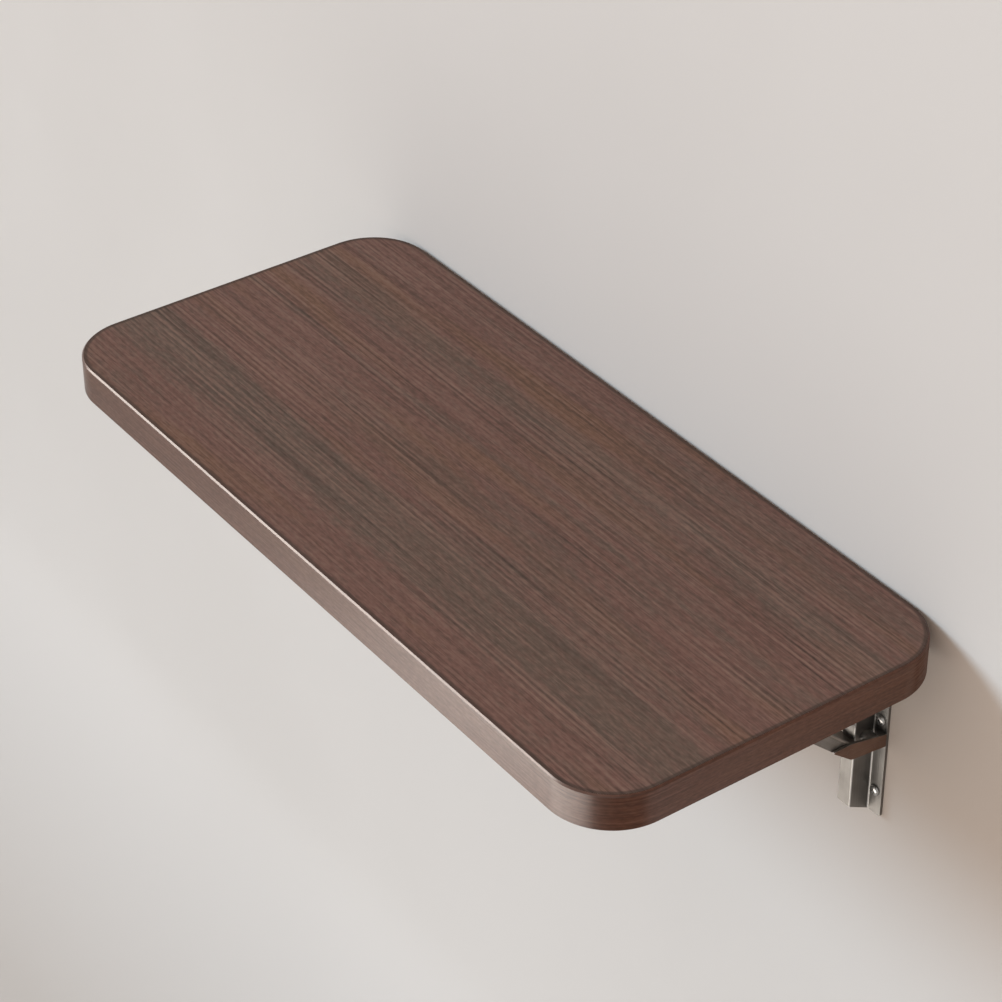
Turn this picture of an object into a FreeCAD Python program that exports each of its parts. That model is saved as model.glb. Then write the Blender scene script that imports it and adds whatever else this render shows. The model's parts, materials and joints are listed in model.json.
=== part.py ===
import FreeCAD, Part
import math
import os

from FreeCAD import Vector

# Wall mounted drop leaf table: a rounded laminated leaf on two folding steel brackets.
# X runs along the wall, +Y into the wall and +Z up. The origin is on the wall, midway between the
# brackets and level with the middle row of wall screws. Lengths are in mm and angles in degrees.
# "out" is the distance from the wall into the room, and "drop" the distance below the leaf's underside.

# Leaf
top_width = 600.0
top_depth = 270.0
core_thickness = 25.0
laminate_thickness = 0.7
corner_radius = 44.0
band_thickness = 1.3
band_round = 1.0
wall_gap = 2.0
surface_height = 100.6

# Brackets, as a pair
bracket_inset = 72.0

# Wall rail, a hat section of folded sheet
rail_width = 35.0
rail_length = 145.0
rail_sheet = 2.0
rail_bend = 1.2
rail_inner_bend = 0.6
rail_top_drop = 5.0
rib_width = 12.0
rib_depth = 18.0
rib_end_slant = 8.5
flange_corner = 1.5
screw_column_spacing = 23.5
screw_row_pitch = 57.0
screw_rows_each_way = 1

# Leaf hinge
hinge_out = 8.0
hinge_drop = 49.2
hinge_pin_diameter = 6.0
hinge_head_diameter = 11.0
hinge_head_height = 2.0
spacer_diameter = 9.4

# Shelf arm, a channel under the leaf with two ears down to the hinge
arm_sheet = 1.8
arm_bend = 0.8
arm_side_play = 0.7
arm_wall_height = 20.0
arm_reach = 236.0
arm_rear_out = 2.5
arm_nose_height = 6.0
arm_nose_slant = 32.0
ear_radius = 6.5
ear_throat_out = 46.0
ear_throat_radius = 16.0
arm_screw_first_out = 45.0
arm_screw_pitch = 85.0
arm_screw_rows = 3
arm_screw_column_spacing = 20.0

# Brace fork, fixed to the rail by a cross pin
fork_sheet = 2.0
fork_rise = 6.2
fork_tip_reach = 14.8
fork_shoulder_back = 1.5
fork_chin_drop = 6.6
fork_tail_drop = 9.6
fork_corner = 0.8
fork_pin_diameter = 5.0
fork_pin_out = 9.0
fork_pin_below_foot = 4.9
fork_bridge_length = 8.0
fork_bridge_drop = 6.8

# Brace and its slide in the arm
foot_out = 32.0
foot_drop = 82.4
foot_pin_diameter = 5.0
brace_angle = 42.0
brace_height = 10.0
brace_sheet = 1.5
brace_bend = 0.7
brace_side_play = 0.5
brace_web_setback = 11.0
bead_width = 8.0
bead_height = 0.9
slide_drop = 11.0
slide_pin_diameter = 6.0
slide_head_diameter = 11.0
slide_head_height = 2.0
slide_nose_diameter = 7.0
slide_nose_length = 7.6
bush_diameter = 8.0
slot_sag = 0.47
slot_play = 0.85
leaf_fold_angle = 90.0
brace_turn_ratio = 1.3888

# Latch spring beside each arm
latch_width = 7.0
latch_sheet = 1.0
latch_root_out = 40.0
latch_root_length = 27.0
latch_ramp_length = 24.0
latch_beam_drop = 4.6
latch_hook_depth = 3.0
latch_hook_run = 1.6
latch_lead_run = 9.0
latch_tab_drop = 4.0
latch_tab_run = 34.0
latch_bend = 0.8

# Screws
wall_screw_diameter = 4.5
wall_screw_length = 40.0
wall_screw_head = 7.8
arm_screw_diameter = 4.0
arm_screw_length = 16.0
arm_screw_head = 8.0
latch_screw_diameter = 3.0
latch_screw_length = 12.0
latch_screw_head = 5.6
latch_screw_margin = 6.5
neck_length = 3.0
neck_diameter_share = 0.76
head_height_share = 0.32
head_round_share = 0.6
tip_length_share = 1.3
tip_flat_share = 0.25

# Clearances
running_gap = 0.05
screw_gap = 0.25
seat_gap = 0.2
hook_gap = 0.3
overrun = 5.0
join_tolerance = 1e-6

# Places worked out from the sizes above
underside = surface_height - core_thickness - 2 * laminate_thickness
bracket_spacing = top_width - 2 * bracket_inset
rail_half = rail_width / 2
rib_half = rib_width / 2
fork_inner = rail_half - fork_sheet
arm_inner = rail_half + arm_side_play
arm_outer = arm_inner + arm_sheet
brace_half = fork_inner - brace_side_play
hinge_height = underside - hinge_drop
foot_height = underside - foot_drop
slide_height = underside - slide_drop
rail_top = underside - rail_top_drop
rail_bottom = rail_top - rail_length
fork_pin_height = foot_height - fork_pin_below_foot
brace_length = (slide_height - foot_height) / math.sin(math.radians(brace_angle))
slide_out = foot_out + brace_length * math.cos(math.radians(brace_angle))
slot_height = slide_height - slot_sag
slot_radius = bush_diameter / 2 + slot_play
latch_middle = arm_outer + seat_gap + slide_head_height + seat_gap + slide_nose_length / 2


def brace_end_in_arm(fold):
    """How far along the arm, from the hinge, the slide pin is when the leaf is folded by this angle."""
    turn = math.radians(fold)
    lean = math.radians(90.0 + brace_angle - brace_turn_ratio * fold)
    out = foot_out - hinge_out + brace_length * math.sin(lean)
    rise = foot_height - hinge_height - brace_length * math.cos(lean)
    return out * math.cos(turn) - rise * math.sin(turn)


slot_far_out = hinge_out + max(brace_end_in_arm(fold) for fold in range(int(leaf_fold_angle) + 1))


# Outlines and simple solids


def rounded_face(corners, to_point):
    """A flat face through corners (u, v, radius), each rounded by a tangent arc of its radius."""
    bends = []
    for index, (u, v, radius) in enumerate(corners):
        here = Vector(u, v, 0)
        before = Vector(*corners[index - 1][:2], 0) - here
        after = Vector(*corners[(index + 1) % len(corners)][:2], 0) - here
        before.normalize()
        after.normalize()
        half = before.getAngle(after) / 2
        reach = radius / math.tan(half)
        middle = here
        if radius > 0:
            inward = before + after
            inward.normalize()
            middle = here + inward * (radius / math.sin(half) - radius)
        bends.append((here + before * reach, middle, here + after * reach))
    edges = []
    for index, (start, middle, end) in enumerate(bends):
        previous = bends[index - 1][2]
        if (start - previous).Length > join_tolerance:
            edges.append(Part.LineSegment(to_point(previous), to_point(start)).toShape())
        if (end - start).Length > join_tolerance:
            edges.append(Part.Arc(to_point(start), to_point(middle), to_point(end)).toShape())
    return Part.Face(Part.Wire(edges))


def oval_corners(near, far, low, high):
    """Corners (u, v, radius) of a long oval: two straight sides with half-round ends."""
    end = (high - low) / 2
    return [(near, high, end), (far, high, end), (far, low, end), (near, low, end)]


def side_plate(corners, x_start, x_end):
    """A plate square to X, from corners (out, height, radius)."""
    face = rounded_face(corners, lambda p: Vector(x_start, -p.x, p.y))
    return face.extrude(Vector(x_end - x_start, 0, 0))


def flat_plate(corners, z_start, z_end):
    """A plate square to Z, from corners (x, out, radius)."""
    face = rounded_face(corners, lambda p: Vector(p.x, -p.y, z_start))
    return face.extrude(Vector(0, 0, z_end - z_start))


def block(x_start, x_end, out_start, out_end, z_start, z_end):
    return Part.makeBox(
        x_end - x_start, out_end - out_start, z_end - z_start, Vector(x_start, -out_end, z_start)
    )


def rod(diameter, x_start, x_end, out, height):
    return Part.makeCylinder(diameter / 2, x_end - x_start, Vector(x_start, -out, height), Vector(1, 0, 0))


def tube(diameter, bore, x_start, x_end, out, height):
    return rod(diameter, x_start, x_end, out, height).cut(
        rod(bore, x_start - overrun, x_end + overrun, out, height)
    )


def cross_hole(diameter, out, height):
    """A hole for a pin of this diameter, right across the bracket."""
    reach = arm_outer + overrun
    return rod(diameter + 2 * running_gap, -reach, reach, out, height)


def both_sides(shape):
    """The shape and its mirror image across the bracket's middle."""
    return [shape, shape.mirror(Vector(0, 0, 0), Vector(1, 0, 0))]


def fuse(shapes):
    return shapes[0].multiFuse(shapes[1:]).removeSplitter()


def cut(shape, tools):
    for tool in tools:
        shape = shape.cut(tool)
    return shape


# Leaf


def board(inset, z_start, z_end):
    """A rounded rectangle of the leaf's outline, drawn in by the inset."""
    half = top_width / 2 - inset
    near = wall_gap + inset
    far = wall_gap + top_depth - inset
    radius = corner_radius - inset
    corners = [(-half, near, radius), (half, near, radius), (half, far, radius), (-half, far, radius)]
    return flat_plate(corners, z_start, z_end)


def leaf_screw_holes():
    """Pilot holes for the screws of both arms and both latch springs."""
    holes = []
    for side in (-1, 1):
        for x, out in arm_screw_places():
            holes.append(pilot_hole(arm_screw_diameter, arm_screw_length - arm_sheet, x, out, side))
        for x, out in latch_screw_places():
            holes.append(pilot_hole(latch_screw_diameter, latch_screw_length - latch_sheet, x, out, side))
    return holes


def pilot_hole(diameter, depth, x, out, side):
    centre = Vector(side * (bracket_spacing / 2 + x), -out, underside - overrun)
    return Part.makeCylinder(diameter / 2 + running_gap, depth + overrun + seat_gap, centre)


def core_board():
    bottom = underside + laminate_thickness
    return cut(board(band_thickness, bottom, bottom + core_thickness), leaf_screw_holes())


def under_laminate():
    sheet = board(band_thickness, underside, underside + laminate_thickness)
    return cut(sheet, leaf_screw_holes())


def top_laminate():
    return board(band_thickness, surface_height - laminate_thickness, surface_height)


def edge_band():
    outside = board(0, underside, surface_height)
    rims = [
        edge
        for edge in outside.Edges
        if abs(edge.BoundBox.ZMax - edge.BoundBox.ZMin) < join_tolerance
    ]
    outside = outside.makeFillet(min(band_round, band_thickness), rims)
    return outside.cut(board(band_thickness, underside - overrun, surface_height + overrun))


# Wall rail


def wall_rail():
    rib_inner = rib_half - rail_sheet
    half_section = [
        (rail_half, 0, 0),
        (rail_half, rail_sheet, 0),
        (rib_half, rail_sheet, rail_bend),
        (rib_half, rib_depth, rail_bend),
    ]
    inner_section = [
        (rib_inner, rib_depth - rail_sheet, rail_inner_bend),
        (rib_inner, 0, rail_bend + rail_sheet),
    ]
    mirrored = [(-x, out, radius) for x, out, radius in reversed(half_section)]
    mirrored_inner = [(-x, out, radius) for x, out, radius in reversed(inner_section)]
    section = half_section + mirrored + mirrored_inner + inner_section
    rail = flat_plate(section, rail_bottom, rail_top)
    slant = [
        (rail_sheet, rail_bottom, 0),
        (rib_depth, rail_bottom + rib_end_slant, 0),
        (rib_depth + overrun, rail_bottom + rib_end_slant, 0),
        (rib_depth + overrun, rail_bottom - overrun, 0),
        (rail_sheet, rail_bottom - overrun, 0),
    ]
    tools = [
        side_plate(slant, -rib_half - overrun, rib_half + overrun),
        cross_hole(hinge_pin_diameter, hinge_out, hinge_height),
        cross_hole(fork_pin_diameter, fork_pin_out, fork_pin_height),
    ]
    for x, z in wall_screw_places():
        radius = wall_screw_diameter / 2 + screw_gap
        tools.append(Part.makeCylinder(radius, rail_sheet + overrun, Vector(x, 0, z), Vector(0, -1, 0)))
    rail = cut(rail, tools)
    corners = [
        edge
        for edge in rail.Edges
        if abs(abs(edge.CenterOfMass.x) - rail_half) < join_tolerance
        and edge.BoundBox.ZMax - edge.BoundBox.ZMin < join_tolerance
    ]
    return rail.makeFillet(flange_corner, corners)


def wall_screw_places():
    rows = range(-screw_rows_each_way, screw_rows_each_way + 1)
    return [(side * screw_column_spacing / 2, row * screw_row_pitch) for row in rows for side in (-1, 1)]


# Leaf hinge


def hinge_pin():
    """A riveted pin through both ears of the arm and the rib of the rail."""
    end = arm_outer + seat_gap
    pin = [rod(hinge_pin_diameter, -end, end, hinge_out, hinge_height)]
    head = rod(hinge_head_diameter, end, end + hinge_head_height, hinge_out, hinge_height)
    return fuse(pin + both_sides(rounded_rim(head, end + hinge_head_height)))


def rounded_rim(head, x_end):
    """A rivet head with its outer rim rounded."""
    rim = [edge for edge in head.Edges if abs(edge.BoundBox.XMin - x_end) < join_tolerance]
    return head.makeFillet(hinge_head_height / 2, rim)


def hinge_spacers():
    bore = hinge_pin_diameter + 2 * running_gap
    return both_sides(tube(spacer_diameter, bore, rib_half, arm_inner - seat_gap, hinge_out, hinge_height))


# Shelf arm


def arm_wall_outline():
    """One side wall of the arm, with the ear that hangs down to the hinge."""
    bottom = underside - arm_wall_height
    ear_bottom = hinge_height - ear_radius
    ear_front = hinge_out + ear_radius
    return [
        (arm_rear_out, underside, 0),
        (arm_reach, underside, 0),
        (arm_reach, underside - arm_nose_height, arm_nose_height / 2),
        (arm_reach - arm_nose_slant, bottom, arm_nose_height),
        (ear_throat_out, bottom, ear_throat_radius),
        (ear_front, ear_bottom, ear_radius),
        (hinge_out - ear_radius, ear_bottom, ear_radius),
        (hinge_out - ear_radius, bottom, 0),
        (arm_rear_out, bottom + ear_radius, 0),
    ]


def shelf_arm():
    outer_bend = arm_bend + arm_sheet
    low = hinge_height - ear_radius - overrun
    far = arm_reach + overrun
    roof = underside - arm_sheet
    shell = block(-arm_outer, arm_outer, 0, far, low, underside)
    hollow = block(-arm_inner, arm_inner, -overrun, far + overrun, low - overrun, roof)
    shell = shell.makeFillet(outer_bend, long_edges(shell, arm_outer, underside))
    hollow = hollow.makeFillet(arm_bend, long_edges(hollow, arm_inner, roof))
    arm = shell.cut(hollow).common(side_plate(arm_wall_outline(), -arm_outer - overrun, arm_outer + overrun))
    tools = [slide_slot(), cross_hole(hinge_pin_diameter, hinge_out, hinge_height)]
    for x, out in arm_screw_places():
        radius = arm_screw_diameter / 2 + screw_gap
        tools.append(Part.makeCylinder(radius, 2 * overrun, Vector(x, -out, underside - overrun)))
    return cut(arm, tools)


def long_edges(shape, half_width, height):
    """The two edges of a box that run along Y at this height, at plus and minus the half width."""
    return [
        edge
        for edge in shape.Edges
        if abs(edge.CenterOfMass.z - height) < join_tolerance
        and abs(abs(edge.CenterOfMass.x) - half_width) < join_tolerance
    ]


def slide_slot():
    """The straight slot that the brace's slide pin runs in, through both walls."""
    top = slot_height + slot_radius
    bottom = slot_height - slot_radius
    near = slide_out - slot_radius
    far = slot_far_out + slot_radius
    return side_plate(oval_corners(near, far, bottom, top), -arm_outer - overrun, arm_outer + overrun)


def arm_screw_places():
    places = []
    for row in range(arm_screw_rows):
        out = arm_screw_first_out + row * arm_screw_pitch
        places.extend((side * arm_screw_column_spacing / 2, out) for side in (-1, 1))
    return places


# Brace fork


def fork_outline():
    """One side plate of the fork: a straight tail to the rail, a raised shoulder and a slanted tip."""
    shoulder = foot_height + fork_rise
    return [
        (rail_sheet, foot_height, 0),
        (foot_out - fork_shoulder_back, shoulder, fork_tip_reach),
        (foot_out + fork_tip_reach, shoulder, fork_corner),
        (foot_out - fork_shoulder_back, foot_height - fork_chin_drop, fork_corner),
        (rail_sheet, foot_height - fork_tail_drop, 0),
    ]


def brace_fork():
    plate = side_plate(fork_outline(), fork_inner, rail_half)
    bridge_bottom = foot_height - fork_bridge_drop
    bridge = block(
        -rail_half,
        rail_half,
        rib_depth,
        rib_depth + fork_bridge_length,
        bridge_bottom,
        bridge_bottom + fork_sheet,
    )
    fork = fuse(both_sides(plate) + [bridge])
    tools = [
        cross_hole(fork_pin_diameter, fork_pin_out, fork_pin_height),
        cross_hole(foot_pin_diameter, foot_out, foot_height),
    ]
    return cut(fork, tools)


def fork_pin():
    return rod(fork_pin_diameter, -rail_half, rail_half, fork_pin_out, fork_pin_height)


def fork_spacers():
    bore = fork_pin_diameter + 2 * running_gap
    return both_sides(tube(spacer_diameter, bore, rib_half, fork_inner, fork_pin_out, fork_pin_height))


def foot_pin():
    return rod(foot_pin_diameter, -rail_half, rail_half, foot_out, foot_height)


# Brace


def along_brace(shape):
    """Turns a shape built along the out direction at the foot's height to lie along the brace."""
    foot = Vector(0, -foot_out, foot_height)
    turned = shape.copy()
    turned.rotate(foot, Vector(1, 0, 0), -brace_angle)
    return turned


def brace():
    half = brace_height / 2
    start = foot_out - half
    end = foot_out + brace_length + half
    top = foot_height + half
    bottom = foot_height - half
    inner = brace_half - brace_sheet
    roof = top - brace_sheet
    shell = block(-brace_half, brace_half, start - overrun, end + overrun, bottom - overrun, top)
    hollow = block(-inner, inner, start - 2 * overrun, end + 2 * overrun, bottom - 2 * overrun, roof)
    shell = shell.makeFillet(brace_bend + brace_sheet, long_edges(shell, brace_half, top))
    hollow = hollow.makeFillet(brace_bend, long_edges(hollow, inner, roof))
    outline = side_plate(oval_corners(start, end, bottom, top), -brace_half - overrun, brace_half + overrun)
    channel = shell.cut(hollow).common(outline)
    web_start = foot_out + brace_web_setback
    web_end = foot_out + brace_length - brace_web_setback
    under_bend = roof - brace_bend
    tools = [
        block(-inner, inner, start - overrun, web_start, under_bend, top + overrun),
        block(-inner, inner, web_end, end + overrun, under_bend, top + overrun),
        cross_hole(foot_pin_diameter, foot_out, foot_height),
        cross_hole(slide_pin_diameter, foot_out + brace_length, foot_height),
    ]
    near = web_start + brace_web_setback
    far = web_end - brace_web_setback
    swage = long_oval(near, far, bead_width / 2, roof, top + bead_height)
    groove_half = bead_width / 2 - bead_height
    near += bead_height
    far -= bead_height
    groove = long_oval(near, far, groove_half, roof - overrun, roof + bead_height)
    return along_brace(cut(channel, tools).fuse(swage).cut(groove))


def long_oval(near, far, half, z_start, z_end):
    """A flat oval along the out direction, for the swage pressed up along the brace's web."""
    corners = [(x, out, radius) for out, x, radius in oval_corners(near, far, -half, half)]
    return flat_plate(corners, z_start, z_end)


def brace_washers():
    bore = foot_pin_diameter + 2 * running_gap
    near = brace_half + running_gap
    far = fork_inner - running_gap
    return both_sides(tube(brace_height, bore, near, far, foot_out, foot_height))


def slide_pin():
    """The pin across the brace's upper end, with a nose on the outboard side for the latch."""
    end = arm_outer + seat_gap
    shaft = rod(slide_pin_diameter, -end, end, slide_out, slide_height)
    head = rod(slide_head_diameter, end, end + slide_head_height, slide_out, slide_height)
    nose_start = end + slide_head_height
    nose = rod(slide_nose_diameter, nose_start, nose_start + slide_nose_length, slide_out, slide_height)
    return fuse([shaft, nose] + both_sides(head))


def slide_bushes():
    bore = slide_pin_diameter + 2 * running_gap
    near = brace_half + running_gap
    return both_sides(tube(bush_diameter, bore, near, arm_outer, slide_out, slide_height))


# Latch spring


def latch_spring():
    """A flat spring whose hook stands in front of the slide pin's nose until it is pressed up."""
    middle_line = latch_line()
    lower = [(out, height - latch_sheet) for out, height in middle_line]
    radii = [0] + [latch_bend] * (len(middle_line) - 2) + [0]
    upper_corners = [(out, height, radius) for (out, height), radius in zip(middle_line, radii)]
    lower_corners = [(out, height, radius) for (out, height), radius in zip(lower, radii)]
    corners = upper_corners + lower_corners[::-1]
    spring = side_plate(corners, latch_middle - latch_width / 2, latch_middle + latch_width / 2)
    holes = [
        Part.makeCylinder(
            latch_screw_diameter / 2 + screw_gap, 2 * overrun, Vector(x, -out, underside - overrun)
        )
        for x, out in latch_screw_places()
    ]
    return cut(spring, holes)


def latch_line():
    """The upper side of the spring, from its screwed root to the finger tab."""
    hook_out = slide_out + slide_nose_diameter / 2 + hook_gap
    nose_top = slide_height + slide_nose_diameter / 2
    hook_bottom = nose_top - latch_hook_depth + latch_sheet
    beam = underside - latch_beam_drop
    tab = underside - latch_tab_drop
    root_end = latch_root_out + latch_root_length
    return [
        (latch_root_out, underside),
        (root_end, underside),
        (root_end + latch_ramp_length, beam),
        (hook_out, beam),
        (hook_out + latch_hook_run, hook_bottom),
        (hook_out + latch_hook_run + latch_lead_run, tab),
        (hook_out + latch_hook_run + latch_lead_run + latch_tab_run, tab),
    ]


def latch_screw_places():
    near = latch_root_out + latch_screw_margin
    far = latch_root_out + latch_root_length - latch_screw_margin
    return [(latch_middle, near), (latch_middle, far)]


# Screws


def pan_screw(diameter, length, head_diameter):
    """A pan head screw with a plain neck: its head's seat is at zero and its tip straight below."""
    radius = diameter / 2
    head_radius = head_diameter / 2
    head_height = head_diameter * head_height_share
    rim = head_height * head_round_share
    taper = diameter * tip_length_share
    neck = radius * neck_diameter_share
    corners = [
        (0, -length, 0),
        (radius * tip_flat_share, -length, 0),
        (radius, taper - length, 0),
        (radius, -neck_length, 0),
        (neck, -neck_length, 0),
        (neck, 0, 0),
        (head_radius, 0, 0),
        (head_radius, head_height, rim),
        (0, head_height, 0),
    ]
    profile = rounded_face(corners, lambda p: Vector(p.x, 0, p.y))
    return profile.revolve(Vector(0, 0, 0), Vector(0, 0, 1), 360)


def wall_screws():
    screws = []
    for x, z in wall_screw_places():
        screw = pan_screw(wall_screw_diameter, wall_screw_length, wall_screw_head)
        screw.rotate(Vector(0, 0, 0), Vector(1, 0, 0), 90)
        screw.translate(Vector(x, -rail_sheet, z))
        screws.append(screw)
    return screws


def screws_up(places, diameter, length, head_diameter, seat):
    """Screws driven up into the leaf, with their heads against the seat's lower face."""
    screws = []
    for x, out in places:
        screw = pan_screw(diameter, length, head_diameter)
        screw.rotate(Vector(0, 0, 0), Vector(1, 0, 0), 180)
        screw.translate(Vector(x, -out, underside - seat))
        screws.append(screw)
    return screws


def arm_screws():
    return screws_up(arm_screw_places(), arm_screw_diameter, arm_screw_length, arm_screw_head, arm_sheet)


def latch_screws():
    return screws_up(
        latch_screw_places(), latch_screw_diameter, latch_screw_length, latch_screw_head, latch_sheet
    )


# The pieces of one bracket, drawn for the right-hand side and mirrored for the left

leaf_pieces = [core_board, top_laminate, under_laminate, edge_band]
bracket_pieces = [
    wall_rail,
    wall_screws,
    hinge_pin,
    hinge_spacers,
    shelf_arm,
    arm_screws,
    brace_fork,
    fork_pin,
    fork_spacers,
    foot_pin,
    brace,
    brace_washers,
    slide_pin,
    slide_bushes,
    latch_spring,
    latch_screws,
]


def save(shape, name):
    shape.exportStep(os.path.join("parts", name + ".step"))
    print(name, len(shape.Solids), "solids", round(shape.Volume), "mm3", shape.isValid())


os.makedirs("parts", exist_ok=True)
for piece in leaf_pieces:
    save(piece(), piece.__name__)
for piece in bracket_pieces:
    made = piece()
    right = Part.makeCompound(made) if isinstance(made, list) else made
    left = right.mirror(Vector(0, 0, 0), Vector(1, 0, 0))
    right.translate(Vector(bracket_spacing / 2, 0, 0))
    left.translate(Vector(-bracket_spacing / 2, 0, 0))
    save(left, piece.__name__ + "_left")
    save(right, piece.__name__ + "_right")
print("leaf hinge axis: y", -hinge_out, "z", round(hinge_height, 3))
print("brace foot axis: y", -foot_out, "z", round(foot_height, 3), "ratio", brace_turn_ratio)
print("slide pin at rest: y", round(-slide_out, 3), "z", round(slide_height, 3))
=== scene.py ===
import json
import math

import bmesh
import bpy
from mathutils import Matrix, Vector

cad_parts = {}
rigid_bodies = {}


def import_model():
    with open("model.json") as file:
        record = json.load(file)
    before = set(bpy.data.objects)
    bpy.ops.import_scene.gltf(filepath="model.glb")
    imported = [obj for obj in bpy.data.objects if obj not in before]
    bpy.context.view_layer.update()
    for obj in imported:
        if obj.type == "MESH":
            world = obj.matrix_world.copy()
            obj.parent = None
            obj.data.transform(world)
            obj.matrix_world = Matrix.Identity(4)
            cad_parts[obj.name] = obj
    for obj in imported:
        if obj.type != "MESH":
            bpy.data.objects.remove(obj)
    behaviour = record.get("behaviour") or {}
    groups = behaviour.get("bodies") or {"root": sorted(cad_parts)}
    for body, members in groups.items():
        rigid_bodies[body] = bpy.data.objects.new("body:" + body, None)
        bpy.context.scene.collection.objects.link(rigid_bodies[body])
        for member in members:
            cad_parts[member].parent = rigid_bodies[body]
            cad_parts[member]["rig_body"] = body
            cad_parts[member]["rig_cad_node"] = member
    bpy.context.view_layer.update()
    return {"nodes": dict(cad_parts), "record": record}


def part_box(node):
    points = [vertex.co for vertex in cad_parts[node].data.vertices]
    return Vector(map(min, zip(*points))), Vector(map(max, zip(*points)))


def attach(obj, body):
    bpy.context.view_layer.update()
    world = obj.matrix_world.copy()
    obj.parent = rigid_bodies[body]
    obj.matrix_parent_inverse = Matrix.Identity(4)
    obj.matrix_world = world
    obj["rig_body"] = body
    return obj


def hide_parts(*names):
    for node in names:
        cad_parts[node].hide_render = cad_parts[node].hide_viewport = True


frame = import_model()
nodes = frame["nodes"]
record = frame["record"]
bodyOf = {node: body for body, members in record["behaviour"]["bodies"].items() for node in members}
sides = ("left", "right")
samePlace = 1e-6  # metres, points closer than this count as one
print("frame loaded with", len(nodes), "nodes")


# Selecting and finishing pieces

def deselectAll():
    if bpy.context.object and bpy.context.object.mode != "OBJECT":
        bpy.ops.object.mode_set(mode="OBJECT")
    bpy.ops.object.select_all(action="DESELECT")


def pick(piece):
    deselectAll()
    piece.select_set(True)
    bpy.context.view_layer.objects.active = piece


def selectEdges(piece, wanted):  # edit mode, edges chosen by a test on each one
    mesh = bmesh.from_edit_mesh(piece.data)
    mesh.normal_update()
    bpy.ops.mesh.select_all(action="DESELECT")
    bpy.ops.mesh.select_mode(type="EDGE")
    for edge in mesh.edges:
        edge.select_set(wanted(edge))
    bmesh.update_edit_mesh(piece.data)


def applyModifier(piece, kind, **values):
    pick(piece)
    modifier = piece.modifiers.new(kind.title(), kind)
    for name, value in values.items():
        setattr(modifier, name, value)
    bpy.ops.object.modifier_apply(modifier=modifier.name)


def smoothOver(piece):  # smooth bevels that leave the flats flat
    pick(piece)
    bpy.ops.object.shade_smooth()
    applyModifier(piece, "WEIGHTED_NORMAL", mode="FACE_AREA", weight=50, keep_sharp=False)


def standsFor(piece, nodeName):
    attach(piece, bodyOf[nodeName])
    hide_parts(nodeName)


def give(piece, material):
    piece.data.materials.clear()
    piece.data.materials.append(material)


# Shader tree shorthands

def feed(tree, socket, value):
    if isinstance(value, bpy.types.NodeSocket):
        tree.links.new(value, socket)
    else:
        socket.default_value = value


def opaque(colour):
    return colour + (1,)


def stretch(tree, vector, scale=(1, 1, 1), turn=(0, 0, 0), shift=(0, 0, 0)):
    node = tree.nodes.new("ShaderNodeMapping")
    feed(tree, node.inputs["Vector"], vector)
    node.inputs["Location"].default_value = shift
    node.inputs["Rotation"].default_value = turn
    node.inputs["Scale"].default_value = scale
    return node.outputs["Vector"]


def axesOf(tree, vector):
    node = tree.nodes.new("ShaderNodeSeparateXYZ")
    feed(tree, node.inputs[0], vector)
    return node.outputs


def noise(tree, vector, scale=1.0, detail=2.0, roughness=0.5):
    node = tree.nodes.new("ShaderNodeTexNoise")
    feed(tree, node.inputs["Vector"], vector)
    node.inputs["Scale"].default_value = scale
    node.inputs["Detail"].default_value = detail
    node.inputs["Roughness"].default_value = roughness
    return node.outputs[0]


def spread(tree, value, low, high, toLow=0.0, toHigh=1.0):
    node = tree.nodes.new("ShaderNodeMapRange")
    node.interpolation_type = "SMOOTHSTEP"
    feed(tree, node.inputs["Value"], value)
    for label, number in zip(("From Min", "From Max", "To Min", "To Max"), (low, high, toLow, toHigh)):
        feed(tree, node.inputs[label], number)
    return node.outputs["Result"]


def calc(tree, operation, first, second=0):
    node = tree.nodes.new("ShaderNodeMath")
    node.operation = operation
    feed(tree, node.inputs[0], first)
    feed(tree, node.inputs[1], second)
    return node.outputs[0]


def vectorCalc(tree, operation, first, second=(0, 0, 0)):
    node = tree.nodes.new("ShaderNodeVectorMath")
    node.operation = operation
    feed(tree, node.inputs[0], first)
    feed(tree, node.inputs[1], second)
    return node.outputs["Value" if operation == "LENGTH" else "Vector"]


def blendColour(tree, factor, first, second):
    node = tree.nodes.new("ShaderNodeMix")
    node.data_type = "RGBA"
    feed(tree, node.inputs[0], factor)
    feed(tree, node.inputs[6], first)
    feed(tree, node.inputs[7], second)
    return node.outputs[2]


def newGroup(name, inputs, outputs):
    group = bpy.data.node_groups.new(name, "ShaderNodeTree")
    for label, kind in inputs.items():
        group.interface.new_socket(name=label, in_out="INPUT", socket_type="NodeSocket" + kind)
    for label, kind in outputs.items():
        group.interface.new_socket(name=label, in_out="OUTPUT", socket_type="NodeSocket" + kind)
    return group, group.nodes.new("NodeGroupInput").outputs, group.nodes.new("NodeGroupOutput").inputs


def placeGroup(tree, group, values):
    node = tree.nodes.new("ShaderNodeGroup")
    node.node_tree = group
    for label, value in values.items():
        feed(tree, node.inputs[label], value)
    return node.outputs


def newMaterial(name):
    material = bpy.data.materials.new(name)
    material.use_nodes = True
    tree = material.node_tree
    place = tree.nodes.new("ShaderNodeTexCoord").outputs["Object"]
    return material, tree, tree.nodes["Principled BSDF"], place


def bumpInto(tree, shader, height, strength, distance):
    node = tree.nodes.new("ShaderNodeBump")
    node.inputs["Strength"].default_value = strength
    node.inputs["Distance"].default_value = distance
    feed(tree, node.inputs["Height"], height)
    feed(tree, shader.inputs["Normal"], node.outputs["Normal"])


# Walnut print: umber streaks in a russet ground, growth lines, hair lines, mottle and short pores

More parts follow.
